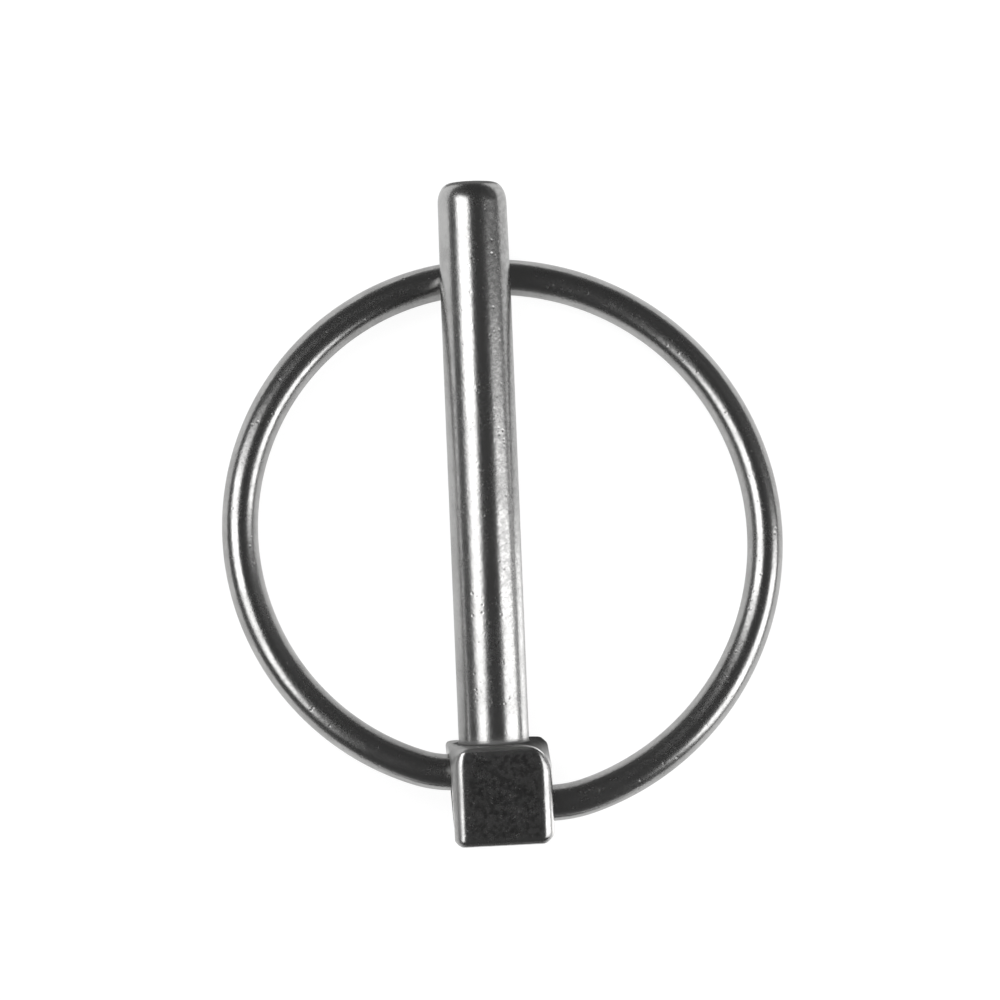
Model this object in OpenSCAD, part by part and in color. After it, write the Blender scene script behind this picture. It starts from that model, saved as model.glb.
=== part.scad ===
// Ring linch pin: a round shank and a block head in one piece, and a sprung
// wire ring whose two ends sit in cross holes in the head. It lies on its back,
// on the far edge of the head and the crown of the ring. The origin is where
// the axis of the shank meets the shoulder of the head.

/* [Shank] */
// Diameter of the full-size shank
shank_d = 6; // [5:0.1:8]
// Length of the full-size shank, from the shoulder
shank_l = 38; // [30:0.5:60]
// Length of the lead-in, from the full-size shank to the tip
lead_l = 9.8; // [6:0.2:20]
// Loss of diameter along the lead-in
lead_taper = 0.12; // [0.02:0.01:0.6]
// Radius of the round edge at the tip
tip_round = 1.3; // [0.3:0.1:2]

/* [Head] */
// Width of the head, from one wire hole to the other
head_w = 8.5; // [7.6:0.1:12]
// Length of the head along the shank
head_l = 8.4; // [8:0.1:14]
// Height of the head, from its back to its front
head_h = 8.7; // [7.6:0.1:12]
// Sideways offset of the head from the axis of the shank
head_shift = 0.3; // [0:0.05:0.6]
// Radius of the four edges that run along the shank
long_round = 1.1; // [0.3:0.1:1.5]
// Radius of the corners at the shoulder
shoulder_round = 0.5; // [0.3:0.1:1.5]
// Radius of the corners at the end of the head
end_round = 0.6; // [0.2:0.1:1.2]
// Radius of the front and back edges at both ends of the head
rim_round = 0.35; // [0.1:0.05:0.8]
// Distance from the shoulder to the axis that the ring swings on
axis_l = 3.9; // [3.6:0.1:7]
// Depth of each wire hole
hole_depth = 3.4; // [2:0.1:4]
// Distance along the shank between the two wire holes
hole_offset = 3; // [0.5:0.1:3.6]
// Clearance on the radius between the wire and its hole
wire_fit = 0.08; // [0.02:0.01:0.1]

/* [Ring] */
// Diameter of the wire
wire_d = 3.1; // [2:0.1:3.4]
// Distance from the full-size shank to the middle of the wire that crosses it
crown_past = 1.9; // [1:0.1:5]
// Gap between the shank and the wire that lies across its back
crown_gap = 0.05; // [0.02:0.01:0.2]
// Length of the straight stretch at the crown
crown_flat = 0.6; // [0.2:0.1:3]
// Sideways shift of the ring from the axis of the shank
ring_shift = 1.1; // [0:0.1:2]
// Radius of the bend at each end, at the middle of the wire
bend_r = 3; // [2.2:0.1:6]
// Straight wire between the head and the bend on the left
stub_left = 0.4; // [0.1:0.1:3]
// Straight wire between the head and the bend on the right
stub_right = 1.3; // [0.1:0.1:3]
// Gap between each end of the wire and the floor of its hole
end_gap = 0.3; // [0.1:0.1:1]
// Radius of the round edge at each end of the wire
wire_end_round = 0.4; // [0.1:0.1:0.8]

/* [Hidden] */
$fn = 96;

shank_r = shank_d / 2;
tip_l = shank_l + lead_l;
tip_r = shank_r - lead_taper / 2;
wire_r = wire_d / 2;
hole_r = wire_r + wire_fit;
face_x = [head_shift - head_w / 2, head_shift + head_w / 2];

// The stretches of the wire run into each other. The bends and the crown have
// the full wire, and the stretches between them are a hair thinner.
join_lap = 0.05;
join_step = 0.01;
run_r = wire_r - join_step;

// The ring lies in a plane through the swing axis. Its crown is crown_y along
// the shank from that axis, and crown_drop behind the axis of the shank.
crown_y = axis_l + shank_l + crown_past;
crown_drop = shank_r + wire_r + crown_gap;
ring_reach = norm([crown_y, crown_drop]);
ring_slope = atan2(crown_drop, crown_y);

// Each half of the ring is one arc from the crown down to a bend, and the bend
// turns it square to the face of the head. One end lies above the swing axis and
// the other below it, so the left arc is the smaller one.
function arc_drop(reach, side) = side * side / (reach - 2 * bend_r);
left_end_y = hole_offset / 2;
right_end_y = -hole_offset / 2;
left_bend_x = face_x[0] - stub_left;
right_bend_x = face_x[1] + stub_right;
left_arc_x = ring_shift - crown_flat / 2;
right_arc_x = ring_shift + crown_flat / 2;
left_span = ring_reach - left_end_y;
right_span = ring_reach - right_end_y;
left_r = (left_span + arc_drop(left_span, left_arc_x - left_bend_x)) / 2;
right_r = (right_span + arc_drop(right_span, right_bend_x - right_arc_x)) / 2;
left_turn = asin((left_arc_x - left_bend_x) / (left_r - bend_r));
right_turn = asin((right_bend_x - right_arc_x) / (right_r - bend_r));

// The pin leans back until the wire at the crown and the far edge of the head
// lie on one level floor.
rest_run = crown_y - axis_l + head_l - rim_round;
rest_rise = head_h / 2 - rim_round - crown_drop;
rest_tilt = asin((wire_r - rim_round) / norm([rest_run, rest_rise]))
    - atan2(rest_rise, rest_run);

// A rectangle from y = 0 down to -h, with its own radius for each pair of corners
module rounded_rect(w, h, upper_r, lower_r) {
    translate([-w / 2, -h + lower_r]) square([w, h - upper_r - lower_r]);
    for (corner = [[upper_r, -upper_r], [lower_r, -h + lower_r]]) {
        translate([-w / 2 + corner[0], corner[1] - corner[0]])
            square([w - 2 * corner[0], 2 * corner[0]]);
        for (side = [-1, 1])
            translate([side * (w / 2 - corner[0]), corner[1]]) circle(corner[0]);
    }
}

// The shank along +Y, with its lead-in and round tip. Its root runs into the head.
module shank() {
    root = head_l / 2;
    round_y = tip_l - tip_round;
    rotate([-90, 0, 0]) rotate_extrude() {
        polygon([[0, -root], [shank_r, -root], [shank_r, shank_l], [tip_r, round_y],
            [0, round_y]]);
        translate([0, round_y - tip_round]) square([tip_r - tip_round, 2 * tip_round]);
        translate([tip_r - tip_round, round_y]) circle(tip_round);
    }
}

// The block as one bar seen from three sides
module head() {
    translate([head_shift, 0, 0]) intersection() {
        translate([0, 0, -head_h / 2]) linear_extrude(head_h)
            rounded_rect(head_w, head_l, shoulder_round, end_round);
        rotate([90, 0, 0]) linear_extrude(head_l)
            translate([0, head_h / 2])
                rounded_rect(head_w, head_h, long_round, long_round);
        rotate([90, 0, 90]) translate([0, 0, -head_w / 2]) linear_extrude(head_w)
            translate([-head_l / 2, head_h / 2])
                rounded_rect(head_l, head_h, rim_round, rim_round);
    }
}

// A blind hole in one side of the head, where the closed ring has its end
module wire_hole(side, mouth_x, end_y) {
    in_ring_plane() translate([mouth_x - side * hole_depth, end_y, 0])
        rotate([0, side * 90, 0]) cylinder(h = hole_depth + hole_r, r = hole_r);
}

// An arc of wire about a centre, from one angle to another
module wire_arc(centre, radius, from, to, r) {
    translate(centre) rotate([0, 0, from]) rotate_extrude(angle = to - from)
        translate([radius, 0]) circle(r);
}

// A side of the ring, which runs past both its ends into its neighbours
module wire_run(centre, radius, from, to) {
    lap = join_lap / radius * 180 / PI;
    wire_arc(centre, radius, from - lap, to + lap, run_r);
}

// One end of the wire, straight from its hole into its bend
module wire_stub(side, mouth_x, bend_x, end_y) {
    inside = hole_depth - end_gap;
    length = inside + abs(bend_x - mouth_x) + join_lap;
    translate([mouth_x - side * inside, end_y, 0]) rotate([0, side * 90, 0]) {
        translate([0, 0, wire_end_round]) cylinder(h = length - wire_end_round, r = run_r);
        rotate_extrude() {
            square([run_r - wire_end_round, 2 * wire_end_round]);
            translate([run_r - wire_end_round, wire_end_round]) circle(wire_end_round);
        }
    }
}

// The whole wire, flat in its own plane with the swing axis as its X axis
module flat_ring() {
    wire_stub(-1, face_x[0], left_bend_x, left_end_y);
    wire_arc([left_bend_x, left_end_y + bend_r], bend_r, 270 - left_turn, 270, wire_r);
    wire_run([left_arc_x, ring_reach - left_r], left_r, 90, 270 - left_turn);
    translate([left_arc_x, ring_reach, 0]) rotate([0, 90, 0])
        cylinder(h = crown_flat, r = wire_r);
    wire_run([right_arc_x, ring_reach - right_r], right_r, right_turn - 90, 90);
    wire_arc([right_bend_x, right_end_y + bend_r], bend_r, -90, right_turn - 90, wire_r);
    wire_stub(1, face_x[1], right_bend_x, right_end_y);
}

// From the plane of the closed ring to the place of the head's holes
module in_ring_plane() {
    translate([0, -axis_l, 0]) rotate([-ring_slope, 0, 0]) children();
}

// Lays the pin back onto the floor
module at_rest() {
    rotate([rest_tilt, 0, 0]) children();
}

module pin() {
    color("silver") at_rest() difference() {
        union() {
            shank();
            head();
        }
        wire_hole(-1, face_x[0], left_end_y);
        wire_hole(1, face_x[1], right_end_y);
    }
}

module ring() {
    color("lightgray") at_rest() in_ring_plane() flat_ring();
}

pin();
ring();
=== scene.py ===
"""A ring linch pin of polished steel, lying on its back on a pale studio floor."""
import math

import bmesh
import bpy
import numpy as np
from mathutils import Matrix, Vector


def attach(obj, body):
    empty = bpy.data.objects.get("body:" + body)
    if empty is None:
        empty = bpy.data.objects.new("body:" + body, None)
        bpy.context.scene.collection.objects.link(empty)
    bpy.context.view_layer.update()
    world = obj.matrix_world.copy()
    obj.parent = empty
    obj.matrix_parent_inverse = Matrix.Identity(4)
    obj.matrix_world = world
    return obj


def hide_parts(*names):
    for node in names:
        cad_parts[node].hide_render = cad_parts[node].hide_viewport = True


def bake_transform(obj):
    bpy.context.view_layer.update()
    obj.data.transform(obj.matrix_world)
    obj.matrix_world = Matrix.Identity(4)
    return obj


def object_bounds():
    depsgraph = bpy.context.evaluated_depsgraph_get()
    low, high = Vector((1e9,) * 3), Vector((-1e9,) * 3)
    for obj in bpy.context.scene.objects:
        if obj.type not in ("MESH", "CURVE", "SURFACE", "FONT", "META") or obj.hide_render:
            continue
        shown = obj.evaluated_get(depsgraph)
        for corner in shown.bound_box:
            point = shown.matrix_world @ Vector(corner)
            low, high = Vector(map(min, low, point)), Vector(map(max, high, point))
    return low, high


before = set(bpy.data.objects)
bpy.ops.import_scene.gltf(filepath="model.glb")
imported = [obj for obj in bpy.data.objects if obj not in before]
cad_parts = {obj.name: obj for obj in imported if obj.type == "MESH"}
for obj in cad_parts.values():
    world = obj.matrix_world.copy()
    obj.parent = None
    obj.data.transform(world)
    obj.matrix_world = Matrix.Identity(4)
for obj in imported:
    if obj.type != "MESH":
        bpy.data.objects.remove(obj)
cad_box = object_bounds()

MM = 0.001

# Shank, in millimetres, along +Y from the shoulder of the head
SHANK_R = 3.0
SHANK_L = 38.0
TIP_L = 47.8
TIP_R = 2.94
TIP_BLUNT = (1.12, 1.75)
TIP_SLOPE = 5.0
ROOT_L = 3.0
ROOT_FILLET = 0.22

# Head
HEAD_SHIFT = 0.3
HEAD_HALF = (4.25, 4.2, 4.35)
LONG_ROUND = 1.1
END_ROUND = 0.6
RIM_ROUND = 0.4
LEFT_LEAN = 0.6
FRONT_CORNERS = {(-1, 1): 1.7, (1, 1): 2.4, (-1, -1): 0.7, (1, -1): 1.1}
AXIS_L = 3.9
HOLE_R = 1.63
HOLE_DEPTH = 3.4
HOLE_CHAMFER = 0.12

# Ring, in its own plane with the swing axis as its X axis
WIRE_R = 1.55
RUN_R = 1.535
CROWN_PAST = 1.9
CROWN_GAP = 0.05
CROWN_FLAT = 0.6
RING_SHIFT = 1.1
BEND_R = 3.0
STUB_LEFT = 0.4
STUB_RIGHT = 1.3
END_OFFSET = 1.5
END_INSIDE = 3.1
END_ROUNDED = 0.4
EASE_REACH = 1.6

# How the pin lies back on the floor
REST_TILT = math.radians(2.150832)

# Where the camera stands, in the frame of the pin
CAMERA_SCALE = 11.732
CAMERA_AWAY = 260.0
CAMERA_OFFSET = (-0.514, -20.652)
CAMERA_YAW = math.radians(4.83)
CAMERA_PITCH = math.radians(0.593)
CAMERA_ROLL = math.radians(2.326)
SENSOR = 36.0
IMAGE_PX = 1000

# How the floor shows as paper and as glow, to the steel and to the camera
STEEL_PAPER, STEEL_GLOW = 0.72, 0.17
CAMERA_PAPER, CAMERA_GLOW = 0.12, 0.92

# The stage, in metres
FLOOR_HALF = 3.0
TENT_R = 0.9
TENT_EDGE_LEVEL, TENT_TOP_LEVEL = 0.17, 0.075
CARD_LIFT = 0.0001
FLAG_LIFT = 0.0002

# Shares of the bright steel that its stains and pits have, and that of its painted shade
DULL, DARK, PAINTED_SHADE_SHARE = 0.78, 0.30, 0.08

# Where the inside of the wire holes takes painted shade, in the frame of the pin
HOLE_SHADE_INSET = 0.06
HOLE_SHADE_Y = (-7.0, -0.7)

# Mesh fineness
AROUND_SHANK = 160
AROUND_WIRE = 56
WIRE_STEP = 0.3
BEND_STEPS = 24
ROUND_STEPS = 9
FLAT_STEPS = 31
CAP_SCALES = (0.06, 0.3, 0.5, 0.66, 0.78, 0.87, 0.94)

FACE_LEFT = HEAD_SHIFT - HEAD_HALF[0]
FACE_RIGHT = HEAD_SHIFT + HEAD_HALF[0]
CROWN_Y = AXIS_L + SHANK_L + CROWN_PAST
CROWN_DROP = SHANK_R + WIRE_R + CROWN_GAP
RING_REACH = math.hypot(CROWN_Y, CROWN_DROP)
RING_SLOPE = math.atan2(CROWN_DROP, CROWN_Y)


def at_rest():
    """From the frame of the pin, in millimetres, to the frame of the part, in metres."""
    return Matrix.Rotation(REST_TILT, 4, "X") @ Matrix.Scale(MM, 4)


def in_ring_plane():
    """From the plane of the closed ring to the frame of the pin."""
    return Matrix.Translation((0, -AXIS_L, 0)) @ Matrix.Rotation(-RING_SLOPE, 4, "X")


def clamp(value):
    return min(1.0, max(0.0, value))


def add_object(name, mesh):
    obj = bpy.data.objects.new(name, mesh)
    bpy.context.scene.collection.objects.link(obj)
    return obj


def mesh_from(name, points, faces):
    """A closed mesh with its doubles merged and its faces turned outwards."""
    bm = bmesh.new()
    verts = [bm.verts.new(p) for p in points]
    for face in faces:
        bm.faces.new([verts[i] for i in face])
    bmesh.ops.remove_doubles(bm, verts=bm.verts, dist=1e-5)
    bmesh.ops.dissolve_degenerate(bm, edges=bm.edges, dist=1e-6)
    bmesh.ops.recalc_face_normals(bm, faces=bm.faces)
    mesh = bpy.data.meshes.new(name)
    bm.to_mesh(mesh)
    bm.free()
    return mesh


def skin(name, points, around):
    """A closed mesh over stacked rings of points, with a flat cap at each end."""
    faces = []
    last = len(points) - around
    for low in range(0, last, around):
        high = low + around
        for i in range(around):
            j = (i + 1) % around
            faces.append((low + i, low + j, high + j, high + i))
    faces.append(tuple(range(around)))
    faces.append(tuple(range(last, len(points))))
    return mesh_from(name, points, faces)


def arc(cx, cy, radius, start, end, steps):
    """Points on an arc, with its angles in degrees."""
    angles = [math.radians(start + (end - start) * i / steps) for i in range(steps + 1)]
    return [(cx + radius * math.cos(a), cy + radius * math.sin(a)) for a in angles]


def revolve(name, profile, around):
    """A closed solid of revolution about Y, from pairs of radius and height."""
    points = []
    for radius, height in profile:
        for i in range(around):
            a = 2 * math.pi * i / around
            points.append((radius * math.sin(a), height, radius * math.cos(a)))
    return skin(name, points, around)


def tip_profile():
    """The end of the shank: a long round, and a crown that runs out of it smoothly."""
    across, along = TIP_BLUNT
    round_arc = arc(0, 0, 1, 0, 90 - TIP_SLOPE, 16)
    rim_r = TIP_R - across * (1 - round_arc[-1][0])
    slope = along / across * math.tan(math.radians(TIP_SLOPE))
    crown = slope * rim_r / 2
    foot = TIP_L - crown - along * round_arc[-1][1]
    profile = [(TIP_R - across * (1 - c), foot + along * s) for c, s in round_arc]
    for share in (0.8, 0.6, 0.4, 0.2, 0.05):
        profile.append((rim_r * share, TIP_L - crown * share ** 2))
    return profile


def shank_mesh():
    profile = [(SHANK_R + ROOT_FILLET, -ROOT_L)]
    profile += arc(SHANK_R + ROOT_FILLET, ROOT_FILLET, ROOT_FILLET, -90, -180, 8)
    profile += [(SHANK_R, y) for y in (0.45, 0.8, *np.linspace(2, SHANK_L, 19))]
    return revolve("shank", profile + tip_profile(), AROUND_SHANK)


def head_section(inset, scale=1.0):
    """The outline of the head across the shank, drawn in by an inset or a scale."""
    radius = LONG_ROUND - inset
    core = [HEAD_HALF[0] - LONG_ROUND, HEAD_HALF[2] - LONG_ROUND]
    outline = []
    for turn, sx, sz in ((0, 1, 1), (90, -1, 1), (180, -1, -1), (270, 1, -1)):
        corner = arc(sx * core[0], sz * core[1], radius, turn, turn + 90, ROUND_STEPS)
        outline += corner
        flat = core[0] if turn % 180 == 0 else core[1]
        along = math.radians(turn + 90)
        for share in np.linspace(0, 1, FLAT_STEPS)[1:-1]:
            x, z = corner[-1]
            reach = 2 * flat * share
            outline.append((x - math.sin(along) * reach, z + math.cos(along) * reach))
    return [(x * scale, z * scale) for x, z in outline]


def head_levels():
    """Places along the head with the inset and scale of the outline at each."""
    turns = [math.radians(90 * i / ROUND_STEPS) for i in range(ROUND_STEPS + 1)]
    low, high = -HEAD_HALF[1], HEAD_HALF[1]
    levels = [(low, END_ROUND, k) for k in CAP_SCALES]
    levels += [(low + END_ROUND * (1 - math.sin(a)), END_ROUND * (1 - math.cos(a)), 1.0)
               for a in reversed(turns)]
    levels += [(y, 0.0, 1.0) for y in np.linspace(low + END_ROUND, high - RIM_ROUND,
                                                  FLAT_STEPS)[1:-1]]
    levels += [(high - RIM_ROUND * (1 - math.sin(a)), RIM_ROUND * (1 - math.cos(a)), 1.0)
               for a in turns]
    return levels + [(high, RIM_ROUND, k) for k in reversed(CAP_SCALES)]


def soften_front(x, y, z):
    """The corners of the head seen from above, rounder towards its front."""
    front = clamp((z + 1.0) / (HEAD_HALF[2] + 1.0))
    corner = FRONT_CORNERS[(-1 if x < 0 else 1, -1 if y < 0 else 1)]
    radius = corner * front * front * (3 - 2 * front)
    if radius < 0.01:
        return x, y
    u = (abs(x) - HEAD_HALF[0]) / radius + 1
    v = (abs(y) - HEAD_HALF[1]) / radius + 1
    if min(u, v) <= 0:
        return x, y
    new_u = u * math.sqrt(1 - v * v / 2)
    new_v = v * math.sqrt(1 - u * u / 2)
    return (math.copysign(HEAD_HALF[0] + (new_u - 1) * radius, x),
            math.copysign(HEAD_HALF[1] + (new_v - 1) * radius, y))


def lean_left(x, y, z):
    """The left side of the head draws in towards its end, most at the back."""
    towards_end = (HEAD_HALF[1] - y) / (2 * HEAD_HALF[1])
    towards_back = (HEAD_HALF[2] - z) / (2 * HEAD_HALF[2])
    return x + LEFT_LEAN * towards_end * towards_back * clamp(-x / HEAD_HALF[0])


def head_mesh():
    points = []
    levels = head_levels()
    for y, inset, scale in levels:
        for x, z in head_section(inset, scale):
            soft_x, soft_y = soften_front(x, y, z)
            soft_x = lean_left(soft_x, soft_y, z)
            points.append((soft_x + HEAD_SHIFT, soft_y - HEAD_HALF[1], z))
    return skin("head", points, len(points) // len(levels))


def hole_mesh(side):
    """The tool that cuts a wire hole with a small worn chamfer at its mouth."""
    mouth = HOLE_R + HOLE_CHAMFER
    profile = [(HOLE_R, -HOLE_DEPTH), (HOLE_R, -HOLE_CHAMFER), (mouth, 0), (mouth, 1)]
    mesh = revolve("hole", profile, 72)
    face_x = FACE_LEFT if side < 0 else FACE_RIGHT
    turn = Matrix.Rotation(-side * math.pi / 2, 4, "Z")
    place = Matrix.Translation((face_x, -side * END_OFFSET, 0))
    mesh.transform(in_ring_plane() @ place @ turn)
    return mesh


def plain_mesh(obj, name):
    """The finished mesh of an object with live modifiers, which are then removed."""
    graph = bpy.context.evaluated_depsgraph_get()
    mesh = bpy.data.meshes.new_from_object(obj.evaluated_get(graph))
    mesh.name = name
    obj.modifiers.clear()
    obj.data = mesh
    return mesh


def drop(*objects):
    for obj in objects:
        bpy.data.objects.remove(obj)


def build_pin():
    pin = add_object("linch_pin", head_mesh())
    tools = [add_object("shank_tool", shank_mesh())]
    tools += [add_object("hole_tool", hole_mesh(side)) for side in (-1, 1)]
    for tool, operation in zip(tools, ("UNION", "DIFFERENCE", "DIFFERENCE")):
        cut = pin.modifiers.new(operation.lower(), "BOOLEAN")
        cut.object = tool
        cut.operation = operation
        cut.solver = "EXACT"
    mesh = plain_mesh(pin, "linch_pin")
    drop(*tools)
    mesh.transform(at_rest())
    mesh.shade_smooth()
    mesh.set_sharp_from_angle(angle=math.radians(32))
    weigh = pin.modifiers.new("even_faces", "WEIGHTED_NORMAL")
    weigh.keep_sharp = True
    store_marks(plain_mesh(pin, "linch_pin"))
    return pin


def painted_shade_at(x, y, z):
    """How much painted shade a point has, which leaves it dull and dark: round the foot of
    the shank, on the shoulder, most to its right, and in a box round both wire holes."""
    from_axis = math.hypot(x, z)
    foot = clamp(1 - y / 0.5) if y >= 0 and from_axis < SHANK_R + 0.5 else 0.0
    shoulder = 0.0
    if from_axis > SHANK_R and -2.5 < y < 0.05 and z < HEAD_HALF[2] - 0.3:
        right = clamp((x - 0.5) / 2)
        shoulder = clamp(1 + y / (0.3 + 1.9 * right)) * (0.08 + 0.92 * right)
    inside = FACE_LEFT + HOLE_SHADE_INSET < x < FACE_RIGHT - HOLE_SHADE_INSET
    level = abs(z) < HOLE_R + 0.1 and HOLE_SHADE_Y[0] < y < HOLE_SHADE_Y[1]
    hole = 1.0 if inside and level else 0.0
    return max(foot, shoulder, hole)


def wear_at(x, y, z):
    """How rubbed a point is: along the rims of the head, most at the shoulder, and on its
    left side."""
    top = clamp((z - HEAD_HALF[2] + RIM_ROUND) / RIM_ROUND)
    front = clamp((y + RIM_ROUND) / RIM_ROUND) if y <= 0.01 else 0.0
    side = clamp((abs(x - HEAD_SHIFT) - HEAD_HALF[0] + LONG_ROUND) / LONG_ROUND)
    back = clamp((-y - 2 * HEAD_HALF[1] + END_ROUND) / END_ROUND)
    flank = clamp((FACE_LEFT + 0.8 - x) / 0.5)
    left_shoulder = front * clamp((-1.5 - x) / 0.5)
    rims = clamp(2.5 * top * front + side * front + 1.2 * side * back)
    return max(rims, flank, left_shoulder)


def blotch_at(x, y, z):
    """How blotched a point is: inside the edges of the front of the head, and less on the
    right of the shank."""
    if y > 0:
        return 0.45 * clamp((x - 0.2) / 0.8) * clamp((y + 5) / 20)
    side = clamp((HEAD_HALF[0] - LONG_ROUND + 0.1 - abs(x - HEAD_SHIFT)) / 0.4)
    ends = clamp((HEAD_HALF[1] - 0.5 - abs(y + HEAD_HALF[1])) / 0.4)
    return side * ends


# The first mark is painted shade; the others are rubbed roughness and random dark blotches.
MARKS = {"grime": painted_shade_at, "wear": wear_at, "blotch": blotch_at}


def store_marks(mesh):
    """The marks of each point, as attributes that the steel reads."""
    back = at_rest().inverted()
    places = [back @ vert.co for vert in mesh.vertices]
    for name, rule in MARKS.items():
        made = mesh.attributes.new(name, "FLOAT", "POINT")
        made.data.foreach_set("value", [rule(*place) for place in places])


def wire_path():
    """The middle of the wire in its own plane, from the left end to the right end."""
    def drop_of(reach, side):
        return side * side / (reach - 2 * BEND_R)

    left_bend = FACE_LEFT - STUB_LEFT
    right_bend = FACE_RIGHT + STUB_RIGHT
    left_x = RING_SHIFT - CROWN_FLAT / 2
    right_x = RING_SHIFT + CROWN_FLAT / 2
    left_span = RING_REACH - END_OFFSET
    right_span = RING_REACH + END_OFFSET
    left_r = (left_span + drop_of(left_span, left_x - left_bend)) / 2
    right_r = (right_span + drop_of(right_span, right_bend - right_x)) / 2
    left_turn = math.degrees(math.asin((left_x - left_bend) / (left_r - BEND_R)))
    right_turn = math.degrees(math.asin((right_bend - right_x) / (right_r - BEND_R)))

    def steps(radius, turn):
        return max(6, round(radius * math.radians(abs(turn)) / WIRE_STEP))

    start = (FACE_LEFT + END_INSIDE, END_OFFSET)
    path = [(x, END_OFFSET) for x in np.linspace(start[0], left_bend, 9)]
    path += arc(left_bend, END_OFFSET + BEND_R, BEND_R, 270, 270 - left_turn, BEND_STEPS)[1:]
    turn = 180 - left_turn
    path += arc(left_x, RING_REACH - left_r, left_r, 270 - left_turn, 90,
                steps(left_r, turn))[1:]
    path.append((RING_SHIFT, RING_REACH))
    turn = 180 - right_turn
    path += arc(right_x, RING_REACH - right_r, right_r, 90, right_turn - 90,
                steps(right_r, turn))
    path += arc(right_bend, BEND_R - END_OFFSET, BEND_R, right_turn - 90, -90, BEND_STEPS)[1:]
    end_x = FACE_RIGHT - END_INSIDE
    path += [(x, -END_OFFSET) for x in np.linspace(right_bend, end_x, 9)[1:]]
    return path


def eased(path):
    """The path with its short bends drawn out into the long arcs, by even averages."""
    places = np.array(path)
    steps = np.hypot(*np.diff(places, axis=0).T)
    length = np.concatenate([[0.0], np.cumsum(steps)])
    shifts = np.linspace(-EASE_REACH, EASE_REACH, 15)
    eased_places = []
    for at in length:
        room = min(1.0, at / EASE_REACH, (length[-1] - at) / EASE_REACH)
        near = at + shifts * room
        eased_places.append([np.interp(near, length, places[:, k]).mean() for k in (0, 1)])
    return [tuple(place) for place in eased_places]


def rounded_ends(path):
    """The path with extra points at its two ends, and the share of the full wire at each."""
    turns = [math.radians(90 * i / 6) for i in range(7)]
    back = [END_ROUNDED * (1 - math.sin(a)) for a in turns]
    size = [1 - END_ROUNDED * (1 - math.cos(a)) / RUN_R for a in turns]
    head = [(path[0][0] - b, path[0][1]) for b in reversed(back)]
    tail = [(path[-1][0] + b, path[-1][1]) for b in back]
    shares = list(reversed(size)) + [1.0] * (len(path) - 2) + size
    return head + path[1:-1] + tail, shares


def node(tree, kind, **inputs):
    made = tree.nodes.new(kind)
    for name, value in inputs.items():
        made.inputs[name.replace("_", " ")].default_value = value
    return made


def marked(tree, curve, name, measure):
    """A curve that carries its length or its share of the way at each point."""
    param = tree.nodes.new("GeometryNodeSplineParameter")
    store = tree.nodes.new("GeometryNodeStoreNamedAttribute")
    store.data_type = "FLOAT"
    store.inputs["Name"].default_value = name
    tree.links.new(curve, store.inputs["Geometry"])
    tree.links.new(param.outputs[measure], store.inputs["Value"])
    return store.outputs["Geometry"]


def wire_tree(material):
    """Geometry Nodes that sweep a round wire along a path and keep its grain."""
    tree = bpy.data.node_groups.new("wire_sweep", "GeometryNodeTree")
    face = tree.interface
    face.new_socket("Path", in_out="INPUT", socket_type="NodeSocketGeometry")
    face.new_socket("Wire Radius", in_out="INPUT", socket_type="NodeSocketFloat")
    face.new_socket("Sides", in_out="INPUT", socket_type="NodeSocketInt")
    face.new_socket("Wire", in_out="OUTPUT", socket_type="NodeSocketGeometry")
    link = tree.links.new
    entry = tree.nodes.new("NodeGroupInput")
    leave = tree.nodes.new("NodeGroupOutput")
    to_curve = tree.nodes.new("GeometryNodeMeshToCurve")
    upright = tree.nodes.new("GeometryNodeSetCurveNormal")
    upright.mode = "Z_UP"
    circle = tree.nodes.new("GeometryNodeCurvePrimitiveCircle")
    size = tree.nodes.new("GeometryNodeInputNamedAttribute")
    size.data_type = "FLOAT"
    size.inputs["Name"].default_value = "wire_size"
    sweep = tree.nodes.new("GeometryNodeCurveToMesh")
    sweep.inputs["Fill Caps"].default_value = True
    smooth = tree.nodes.new("GeometryNodeSetShadeSmooth")
    real = tree.nodes.new("GeometryNodeRealizeInstances")
    finish = tree.nodes.new("GeometryNodeSetMaterial")
    finish.inputs["Material"].default_value = material
    link(entry.outputs["Path"], to_curve.inputs["Mesh"])
    link(to_curve.outputs["Curve"], upright.inputs["Curve"])
    link(entry.outputs["Wire Radius"], circle.inputs["Radius"])
    link(entry.outputs["Sides"], circle.inputs["Resolution"])
    path = marked(tree, upright.outputs["Curve"], "wire_length", "Length")
    link(path, sweep.inputs["Curve"])
    profile = marked(tree, circle.outputs["Curve"], "wire_turn", "Factor")
    link(profile, sweep.inputs["Profile Curve"])
    link(size.outputs["Attribute"], sweep.inputs["Scale"])
    link(sweep.outputs["Mesh"], smooth.inputs["Geometry"])
    link(smooth.outputs["Geometry"], real.inputs["Geometry"])
    link(real.outputs["Geometry"], finish.inputs["Geometry"])
    link(finish.outputs["Geometry"], leave.inputs["Wire"])
    return tree


SWEEP_INPUTS = {"Wire Radius": RUN_R * MM, "Sides": AROUND_WIRE}


def build_half(name, path, shares, sweep_tree):
    """One half of the ring, from an end in its hole to the middle of the crown."""
    mesh = bpy.data.meshes.new(name)
    edges = [(i, i + 1) for i in range(len(path) - 1)]
    mesh.from_pydata([(x, y, 0) for x, y in path], edges, [])
    mesh.transform(at_rest() @ in_ring_plane())
    mesh.attributes.new("wire_size", "FLOAT", "POINT").data.foreach_set("value", shares)
    half = add_object(name, mesh)
    sweep = half.modifiers.new("sweep", "NODES")
    sweep.node_group = sweep_tree
    for socket in sweep_tree.interface.items_tree:
        if socket.name in SWEEP_INPUTS:
            sweep[socket.identifier] = SWEEP_INPUTS[socket.name]
    plain_mesh(half, name).set_sharp_from_angle(angle=math.radians(50))
    return half


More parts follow.
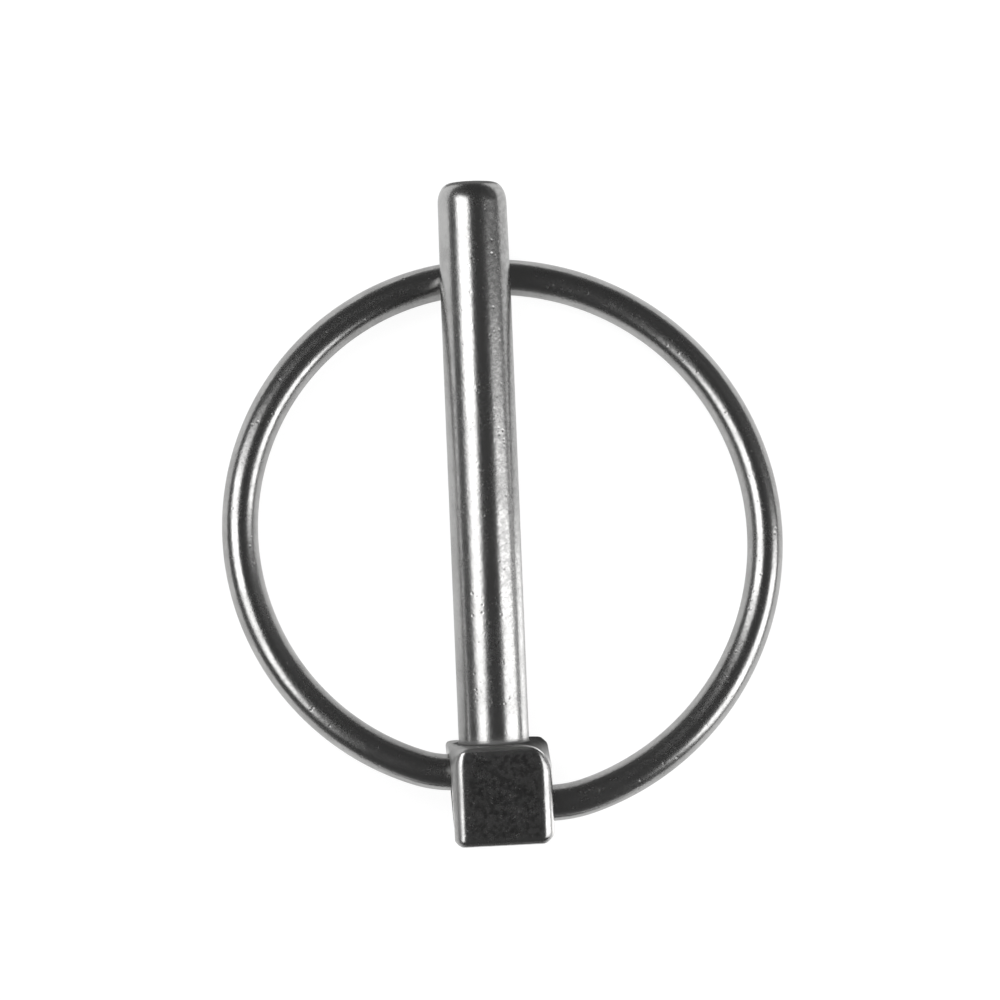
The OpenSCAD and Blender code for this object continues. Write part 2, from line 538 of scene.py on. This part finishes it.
def build_ring(material):
    """The two halves of the wire, which meet at the crown behind the shank."""
    path, shares = rounded_ends(eased(wire_path()))
    crown = max(range(len(path)), key=lambda i: (path[i][1], -abs(path[i][0] - RING_SHIFT)))
    tree = wire_tree(material)
    left = build_half("wire_left", path[:crown + 1], shares[:crown + 1], tree)
    right = build_half("wire_right", path[crown:], shares[crown:], tree)
    begin = sum(math.dist(a, b) for a, b in zip(path[:crown], path[1:crown + 1])) * MM
    store_grain(left.data, 0.0)
    store_grain(right.data, begin)
    return left, right


def store_grain(mesh, begin):
    """A place on the straight wire for each point, so that the finish follows the bends."""
    count = len(mesh.vertices)
    length = np.zeros(count, np.float32)
    turn = np.zeros(count, np.float32)
    mesh.attributes["wire_length"].data.foreach_get("value", length)
    mesh.attributes["wire_turn"].data.foreach_get("value", turn)
    angle = turn * 2 * math.pi
    reach = RUN_R * MM
    grain = np.stack([length + begin, reach * np.cos(angle), reach * np.sin(angle)], axis=1)
    made = mesh.attributes.new("grain", "FLOAT_VECTOR", "POINT")
    made.data.foreach_set("vector", grain.astype(np.float32).ravel())


def empty_material(name):
    material = bpy.data.materials.new(name)
    material.use_nodes = True
    material.node_tree.nodes.clear()
    return material


def show(tree, shader):
    """Makes a shader what its material looks like."""
    out = tree.nodes.new("ShaderNodeOutputMaterial")
    tree.links.new(shader, out.inputs["Surface"])


def steel_shade(level):
    """The faintly warm grey of the steel at some level."""
    return tuple(level * channel for channel in (1.0, 0.995, 0.985)) + (1.0,)


class Steel:
    """A polished steel with fine grain along one axis, small pits and soft stains."""

    def __init__(self, name, tint, grain_axis, pit_share, attribute=None, marks=False):
        self.material = empty_material(name)
        self.tree = self.material.node_tree
        self.grain_axis = grain_axis
        self.shader = node(self.tree, "ShaderNodeBsdfPrincipled", Metallic=1.0)
        show(self.tree, self.shader.outputs["BSDF"])
        if attribute:
            self.place = self.attribute(attribute, "Vector")
        else:
            source = self.tree.nodes.new("ShaderNodeTexCoord")
            self.place = source.outputs["Object"]
        self.marks = {mark: self.attribute(mark, "Fac") for mark in MARKS if marks}
        self.paint(tint, pit_share)

    def attribute(self, name, output):
        made = self.tree.nodes.new("ShaderNodeAttribute")
        made.attribute_name = name
        return made.outputs[output]

    def link(self, a, b):
        self.tree.links.new(a, b)

    def noise(self, per_metre, stretch=1.0, detail=3.0, roughness=0.55):
        """Noise with so many marks to the metre, drawn out along the grain."""
        mapping = self.tree.nodes.new("ShaderNodeMapping")
        scale = [per_metre] * 3
        scale[self.grain_axis] = per_metre / stretch
        mapping.inputs["Scale"].default_value = scale
        self.link(self.place, mapping.inputs["Vector"])
        made = node(self.tree, "ShaderNodeTexNoise", Scale=1.0, Detail=detail,
                    Roughness=roughness)
        self.link(mapping.outputs["Vector"], made.inputs["Vector"])
        return made.outputs["Fac"]

    def pits(self, per_metre, share, width):
        """A mask of small round pits, 1 in a pit and 0 outside it."""
        mapping = self.tree.nodes.new("ShaderNodeMapping")
        mapping.inputs["Scale"].default_value = [per_metre] * 3
        self.link(self.place, mapping.inputs["Vector"])
        cells = node(self.tree, "ShaderNodeTexVoronoi", Scale=1.0, Randomness=1.0)
        self.link(mapping.outputs["Vector"], cells.inputs["Vector"])
        near = self.ramp(cells.outputs["Distance"], (0.0, 1.0), (width, 0.0))
        split = self.tree.nodes.new("ShaderNodeSeparateColor")
        self.link(cells.outputs["Color"], split.inputs["Color"])
        chosen = self.ramp(split.outputs["Red"], (share, 1.0), (share + 0.02, 0.0))
        return self.math("MULTIPLY", near, chosen)

    def ramp(self, value, low, high):
        """A map from one range to another, held at both its ends."""
        made = self.tree.nodes.new("ShaderNodeMapRange")
        made.inputs["From Min"].default_value = low[0]
        made.inputs["From Max"].default_value = high[0]
        made.inputs["To Min"].default_value = low[1]
        made.inputs["To Max"].default_value = high[1]
        self.link(value, made.inputs["Value"])
        return made.outputs["Result"]

    def math(self, operation, a, b):
        made = self.tree.nodes.new("ShaderNodeMath")
        made.operation = operation
        for socket, value in zip(made.inputs, (a, b)):
            if isinstance(value, (int, float)):
                socket.default_value = value
            else:
                self.link(value, socket)
        return made.outputs["Value"]

    def mix(self, factor, a, b):
        made = self.tree.nodes.new("ShaderNodeMix")
        made.data_type = "RGBA"
        self.link(factor, made.inputs["Factor"])
        for key, value in (("A", a), ("B", b)):
            socket = [s for s in made.inputs if s.name == key and s.type == "RGBA"][0]
            if isinstance(value, tuple):
                socket.default_value = value
            else:
                self.link(value, socket)
        return [s for s in made.outputs if s.type == "RGBA"][0]

    def bump(self, height, depth, strength, normal=None):
        made = self.tree.nodes.new("ShaderNodeBump")
        made.inputs["Distance"].default_value = depth
        made.inputs["Strength"].default_value = strength
        self.link(height, made.inputs["Height"])
        if normal is not None:
            self.link(normal, made.inputs["Normal"])
        return made.outputs["Normal"]

    def paint(self, tint, pit_share):
        stain = self.noise(420, detail=4.0)
        grain = self.noise(7000, stretch=18.0, detail=2.0)
        mottle = self.noise(4200, stretch=1.3, detail=3.0, roughness=0.65)
        peel = self.noise(2300, stretch=1.6, detail=2.0)
        wave = self.noise(520, stretch=3.0, detail=1.0)
        pitted = self.pitting(pit_share)
        bright, dull, dark = (steel_shade(tint * share) for share in (1.0, DULL, DARK))
        colour = self.mix(self.ramp(stain, (0.4, 0.0), (0.7, 1.0)), bright, dull)
        colour = self.mix(self.ramp(mottle, (0.35, 0.0), (0.75, 0.6)), colour, dull)
        colour = self.mix(self.ramp(pitted, (0.0, 0.0), (1.0, 0.2)), colour, dark)
        rough = self.math("ADD", self.ramp(stain, (0.3, 0.17), (0.75, 0.26)),
                          self.ramp(mottle, (0.35, 0.0), (0.7, 0.06)))
        rough = self.math("ADD", rough, self.ramp(pitted, (0.0, 0.0), (1.0, 0.12)))
        if self.marks:
            # Blotches, and painted shade as a dark dull colour where the marks put it.
            colour = self.blotch_and_shade(colour, dark, steel_shade(tint * PAINTED_SHADE_SHARE))
            rough = self.rub(rough, stain)
        self.link(colour, self.shader.inputs["Base Color"])
        self.link(rough, self.shader.inputs["Roughness"])
        hollows = self.ramp(pitted, (0.0, 1.0), (1.0, 0.0))
        normal = None
        for height, depth, strength in ((wave, 0.0001, 0.10), (peel, 0.00002, 0.45),
                                        (mottle, 0.000008, 0.8), (grain, 0.000003, 0.5),
                                        (hollows, 0.00002, 0.85)):
            normal = self.bump(height, depth, strength, normal)
        self.link(normal, self.shader.inputs["Normal"])

    def pitting(self, share):
        """Small and large pits, thicker in some patches than in others."""
        patch = self.ramp(self.noise(330, detail=1.0), (0.42, 0.25), (0.62, 1.0))
        small = self.pits(2500, share, 0.40)
        large = self.pits(1300, share * 0.3, 0.16)
        return self.math("MULTIPLY", self.math("MAXIMUM", small, large), patch)

    def blotch_and_shade(self, colour, dark, shade_colour):
        """The colour with its blotches and its painted shade, a dark colour that isn't a
        metal and doesn't shine.
        """
        cloud = self.noise(2500, detail=3.0, roughness=0.6)
        cloud = self.ramp(cloud, (0.42, 0.0), (0.60, 0.75))
        colour = self.mix(self.math("MULTIPLY", cloud, self.marks["blotch"]), colour, dark)
        # Painted shade: where it lies, the steel is dark, dull and hardly a metal.
        metal = self.ramp(self.marks["grime"], (0.0, 1.0), (1.0, 0.1))
        self.link(metal, self.shader.inputs["Metallic"])
        self.shader.inputs["Specular IOR Level"].default_value = 0.0
        return self.mix(self.marks["grime"], colour, shade_colour)

    def rub(self, rough, stain):
        """The roughness with its wear, which is uneven."""
        uneven = self.ramp(stain, (0.3, 0.6), (0.6, 1.0))
        rubbed = self.math("MULTIPLY", self.marks["wear"], uneven)
        return self.math("ADD", rough, self.ramp(rubbed, (0.0, 0.0), (1.0, 0.24)))


def smooth_step(tree, value, low, high, start=0.0, end=1.0):
    made = tree.nodes.new("ShaderNodeMapRange")
    made.interpolation_type = "SMOOTHSTEP"
    for name, number in (("From Min", low), ("From Max", high), ("To Min", start),
                         ("To Max", end)):
        made.inputs[name].default_value = number
    tree.links.new(value, made.inputs["Value"])
    return made.outputs["Result"]


def times(tree, a, b):
    made = tree.nodes.new("ShaderNodeMath")
    made.operation = "MULTIPLY"
    for socket, value in zip(made.inputs, (a, b)):
        if isinstance(value, float):
            socket.default_value = value
        else:
            tree.links.new(value, socket)
    return made.outputs["Value"]


def slanted(tree, across, length, lean):
    made = tree.nodes.new("ShaderNodeMath")
    made.operation = "MULTIPLY_ADD"
    tree.links.new(length, made.inputs[0])
    made.inputs[1].default_value = lean
    tree.links.new(across, made.inputs[2])
    return made.outputs["Value"]


def only_glossy(obj):
    """Only the steel sees this stage piece."""
    obj.visible_camera = False
    obj.visible_diffuse = False
    obj.visible_shadow = False
    obj.visible_transmission = False


def seen_only_by(card, *names):
    """Keeps the light of a card to some pieces of the part."""
    pieces = bpy.data.collections.new(card.name + "_receivers")
    for name in names:
        pieces.objects.link(bpy.data.objects[name])
    card.light_linking.receiver_collection = pieces


def own_axes(tree):
    """Where a point is on its own object, along X, Y and Z."""
    spot = tree.nodes.new("ShaderNodeTexCoord")
    split = tree.nodes.new("ShaderNodeSeparateXYZ")
    tree.links.new(spot.outputs["Object"], split.inputs["Vector"])
    return split.outputs["X"], split.outputs["Y"], split.outputs["Z"]


def faded(tree, edges):
    """A share that falls to 0 at soft edges. Each has a value, its end and its reach."""
    share = None
    for value, end, reach in edges:
        step = smooth_step(tree, value, end, end + reach)
        share = step if share is None else times(tree, share, step)
    return share


def add_shaders(tree, a, b):
    both = tree.nodes.new("ShaderNodeAddShader")
    tree.links.new(a, both.inputs[0])
    tree.links.new(b, both.inputs[1])
    return both.outputs["Shader"]


def mix_shaders(tree, share, a, b):
    both = tree.nodes.new("ShaderNodeMixShader")
    tree.links.new(share, both.inputs["Fac"])
    tree.links.new(a, both.inputs[1])
    tree.links.new(b, both.inputs[2])
    return both.outputs["Shader"]


def clear_shader(tree):
    return tree.nodes.new("ShaderNodeBsdfTransparent").outputs["BSDF"]


def card_object(name, corners, material):
    """One four-sided card in a material."""
    mesh = bpy.data.meshes.new(name)
    mesh.from_pydata(corners, [], [(0, 1, 2, 3)])
    mesh.materials.append(material)
    return add_object(name, mesh)


def seen_by(tree):
    """1 for rays from the camera and for those that metal or glass sends on, 0 for others."""
    path = tree.nodes.new("ShaderNodeLightPath")
    total = path.outputs["Is Camera Ray"]
    for name in ("Is Glossy Ray", "Is Transmission Ray"):
        add = tree.nodes.new("ShaderNodeMath")
        add.operation = "ADD"
        add.use_clamp = True
        tree.links.new(total, add.inputs[0])
        tree.links.new(path.outputs[name], add.inputs[1])
        total = add.outputs["Value"]
    return total


def build_world():
    world = bpy.data.worlds.new("studio")
    bpy.context.scene.world = world
    world.use_nodes = True
    tree = world.node_tree
    tree.nodes.clear()
    seen = node(tree, "ShaderNodeBackground", Color=(1, 1, 1, 1), Strength=1.0)
    fill = node(tree, "ShaderNodeBackground", Color=(1, 1, 1, 1), Strength=0.75)
    out = tree.nodes.new("ShaderNodeOutputWorld")
    both = mix_shaders(tree, seen_by(tree), fill.outputs["Background"],
                       seen.outputs["Background"])
    tree.links.new(both, out.inputs["Surface"])


def paper_shader(tree, albedo, level):
    """White paper that takes shadows, with a glow for the rays that show a background."""
    paper = node(tree, "ShaderNodeBsdfDiffuse", Color=(albedo, albedo, albedo, 1))
    glow = node(tree, "ShaderNodeEmission", Color=(1, 1, 1, 1))
    tree.links.new(times(tree, seen_by(tree), level), glow.inputs["Strength"])
    return add_shaders(tree, paper.outputs["BSDF"], glow.outputs["Emission"])


def build_floor():
    material = empty_material("floor_paper")
    tree = material.node_tree
    path = tree.nodes.new("ShaderNodeLightPath")
    show(tree, mix_shaders(tree, path.outputs["Is Camera Ray"],
                           paper_shader(tree, STEEL_PAPER, STEEL_GLOW),
                           paper_shader(tree, CAMERA_PAPER, CAMERA_GLOW)))
    corners = [(x * FLOOR_HALF, y * FLOOR_HALF, cad_box[0].z)
               for x, y in ((-1, -1), (1, -1), (1, 1), (-1, 1))]
    card_object("floor", corners, material)


def build_tent():
    """A dark cloth over the set, which only the steel sees."""
    rings, around = 16, 48
    points, faces = [], []
    for i in range(rings + 1):
        lift = math.radians(90 * i / rings)
        for j in range(around):
            turn = 2 * math.pi * j / around
            points.append((TENT_R * math.cos(lift) * math.cos(turn),
                           TENT_R * math.cos(lift) * math.sin(turn),
                           cad_box[0].z + TENT_R * math.sin(lift)))
    for i in range(rings):
        for j in range(around):
            k = (j + 1) % around
            faces.append((i * around + j, i * around + k,
                          (i + 1) * around + k, (i + 1) * around + j))
    mesh = mesh_from("tent", points, faces)
    material = empty_material("dark_cloth")
    tree = material.node_tree
    cloth = node(tree, "ShaderNodeEmission", Color=(1, 1, 1, 1))
    height = own_axes(tree)[2]
    fade = smooth_step(tree, height, 0.0, 0.55 * TENT_R, TENT_EDGE_LEVEL, TENT_TOP_LEVEL)
    tree.links.new(fade, cloth.inputs["Strength"])
    show(tree, cloth.outputs["Emission"])
    mesh.materials.append(material)
    only_glossy(add_object("tent", mesh))


def facing(side, along, away):
    """A place on the studio's dome, by its angles from overhead, that faces the part."""
    aim = Vector((0.001, 0.02, 0))
    back = Vector((math.tan(math.radians(side)), math.tan(math.radians(along)), 1))
    back.normalize()
    right = Vector((0, 1, 0)).cross(back).normalized()
    up = back.cross(right)
    turn = Matrix((right, up, back)).transposed().to_4x4()
    turn.translation = aim + back * away
    return turn


def lamp(name, side, along, away, size, energy):
    """A soft lamp that sets the level. The steel shows the cards and not this."""
    light = bpy.data.lights.new(name, "AREA")
    light.shape = "SQUARE"
    light.size = size
    light.energy = energy
    made = bpy.data.objects.new(name, light)
    bpy.context.scene.collection.objects.link(made)
    made.matrix_world = facing(side, along, away)
    made.visible_camera = False
    made.visible_glossy = False


def glow_card(name, place, size, level, fades, leans=(0.0, 0.0, 0.0), dim=None):
    """A softbox as the steel shows it. fades are the soft margins at its left, right,
    lower and upper edges, leans slant its left, right and upper edges, and dim is the range
    along its length over which it falls to a share of its level."""
    wide, tall = size[0] / 2, size[1] / 2
    material = empty_material(name)
    tree = material.node_tree
    across, length, _ = own_axes(tree)
    glow = faded(tree, ((slanted(tree, across, length, leans[0]), -wide, fades[0]),
                        (slanted(tree, across, length, leans[1]), wide, -fades[1]),
                        (length, -tall, fades[2]),
                        (slanted(tree, length, across, leans[2]), tall, -fades[3])))
    if dim:
        glow = times(tree, glow, smooth_step(tree, length, dim[0], dim[1], 1.0, dim[2]))
    shine = node(tree, "ShaderNodeEmission", Color=(1, 1, 1, 1))
    tree.links.new(times(tree, glow, level), shine.inputs["Strength"])
    show(tree, add_shaders(tree, clear_shader(tree), shine.outputs["Emission"]))
    corners = [(-wide, -tall, 0), (wide, -tall, 0), (wide, tall, 0), (-wide, tall, 0)]
    card = card_object(name, corners, material)
    card.matrix_world = place
    only_glossy(card)
    return card


def build_flag(name, near, far, level, soft=0.0):
    """A dark card beyond one end of the part, which only the steel sees; lying on the floor,
    it is painted shade of the floor. near and far are its half width, place and height over
    the floor at its two ends, and soft is the margin over which its sides fade in.
    Its near edge takes a third of that."""
    material = empty_material(name)
    tree = material.node_tree
    look = node(tree, "ShaderNodeEmission", Color=(1, 1, 1, 1), Strength=level)
    look = look.outputs["Emission"]
    if soft:
        across, length, _ = own_axes(tree)
        cover = faded(tree, ((across, -near[0], soft), (across, near[0], -soft),
                             (length, near[1], -soft / 3)))
        look = mix_shaders(tree, cover, clear_shader(tree), look)
    show(tree, look)
    corners = [(side * end[0], end[1], cad_box[0].z + end[2])
               for end, side in ((near, -1), (near, 1), (far, 1), (far, -1))]
    only_glossy(card_object(name, corners, material))


def on_floor(x, y):
    """A place for a card that lies just over the floor."""
    return Matrix.Translation((x, y, cad_box[0].z + CARD_LIFT))


def build_lights():
    """The lamps, the softboxes, the light from the floor, and dark cards: painted shade of
    the floor beyond both ends, and a dark far wall.
    """
    lamp("key", -25, 30, 0.5, 0.25, 1.3)
    lamp("fill", 45, -10, 0.5, 0.30, 0.8)
    glow_card("left_box", facing(-41, -6, 0.34), (0.283, 0.44), 3.6,
              (0.125, 0.045, 0.14, 0.09), leans=(0.3, -0.55, 0.3), dim=(0.05, -0.03, 0.8))
    right_box = glow_card("right_box", facing(60.4, -6, 0.36), (0.34, 0.36), 3.6,
                          (0.05, 0.08, 0.15, 0.10), leans=(0.0, 1.1, 0.0),
                          dim=(-0.02, 0.055, 0.0))
    ring_box = glow_card("ring_box", facing(60, -30, 0.36), (0.26, 0.33), 3.4,
                         (0.07, 0.05, 0.08, 0.07))
    glow_card("right_wall", facing(47, 5, 0.45), (0.54, 0.60), 0.045,
              (0.16, 0.08, 0.10, 0.10))
    glint = glow_card("floor_glint", on_floor(0.018, 0.004), (0.024, 0.040), 1.6,
                      (0.006, 0.006, 0.008, 0.014))
    bounce = glow_card("floor_bounce", on_floor(-0.0066, -0.0045), (0.0055, 0.0085), 1.5,
                       (0.002, 0.0003, 0.002, 0.002))
    for card in (bounce, right_box, glint):
        seen_only_by(card, "linch_pin")
    seen_only_by(ring_box, "wire_left", "wire_right")
    # A dark card on the floor beyond the tip: painted shade of the floor as the steel shows
    # it.
    build_flag("far_flag", (0.006, 0.051, FLAG_LIFT), (0.13, 0.4, FLAG_LIFT), 0.30)
    build_flag("far_wall", (0.13, 0.4, FLAG_LIFT), (0.14, 0.42, 0.20), 0.09)
    # A dark card on the floor beyond the end of the head: painted shade of the floor as the
    # steel shows it.
    build_flag("near_flag", (0.034, -0.018, FLAG_LIFT), (0.034, -0.4, FLAG_LIFT), 0.09,
               soft=0.02)


def build_camera():
    turn = (Matrix.Rotation(CAMERA_ROLL, 3, "Z") @ Matrix.Rotation(CAMERA_PITCH, 3, "X")
            @ Matrix.Rotation(CAMERA_YAW, 3, "Y"))
    place = Vector((-CAMERA_OFFSET[0], -CAMERA_OFFSET[1], CAMERA_AWAY))
    pose = turn.transposed().to_4x4()
    pose.translation = turn.transposed() @ place * MM
    data = bpy.data.cameras.new("camera")
    data.sensor_width = SENSOR
    data.lens = CAMERA_SCALE * CAMERA_AWAY * SENSOR / IMAGE_PX
    data.clip_start = 0.01
    camera = bpy.data.objects.new("camera", data)
    bpy.context.scene.collection.objects.link(camera)
    camera.matrix_world = Matrix.Rotation(REST_TILT, 4, "X") @ pose
    bpy.context.scene.camera = camera


def dress_pin():
    pin = build_pin()
    steel = Steel("pin_steel", 0.43, 1, 0.24, marks=True)
    pin.data.materials.clear()
    pin.data.materials.append(steel.material)
    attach(pin, "pin")
    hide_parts("pin")


def dress_ring():
    """The wire, in two halves whose ends sit in the holes of the head, in place of the ring
    of the model.
    """
    steel = Steel("ring_steel", 0.41, 0, 0.16, attribute="grain")
    for half, side, face_x in zip(build_ring(steel.material), (-1, 1),
                                  (FACE_LEFT, FACE_RIGHT)):
        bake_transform(half)
        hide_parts("ring")


bpy.context.scene.view_settings.view_transform = "Standard"
build_camera()
dress_pin()
dress_ring()
build_floor()
build_tent()
build_lights()
build_world()
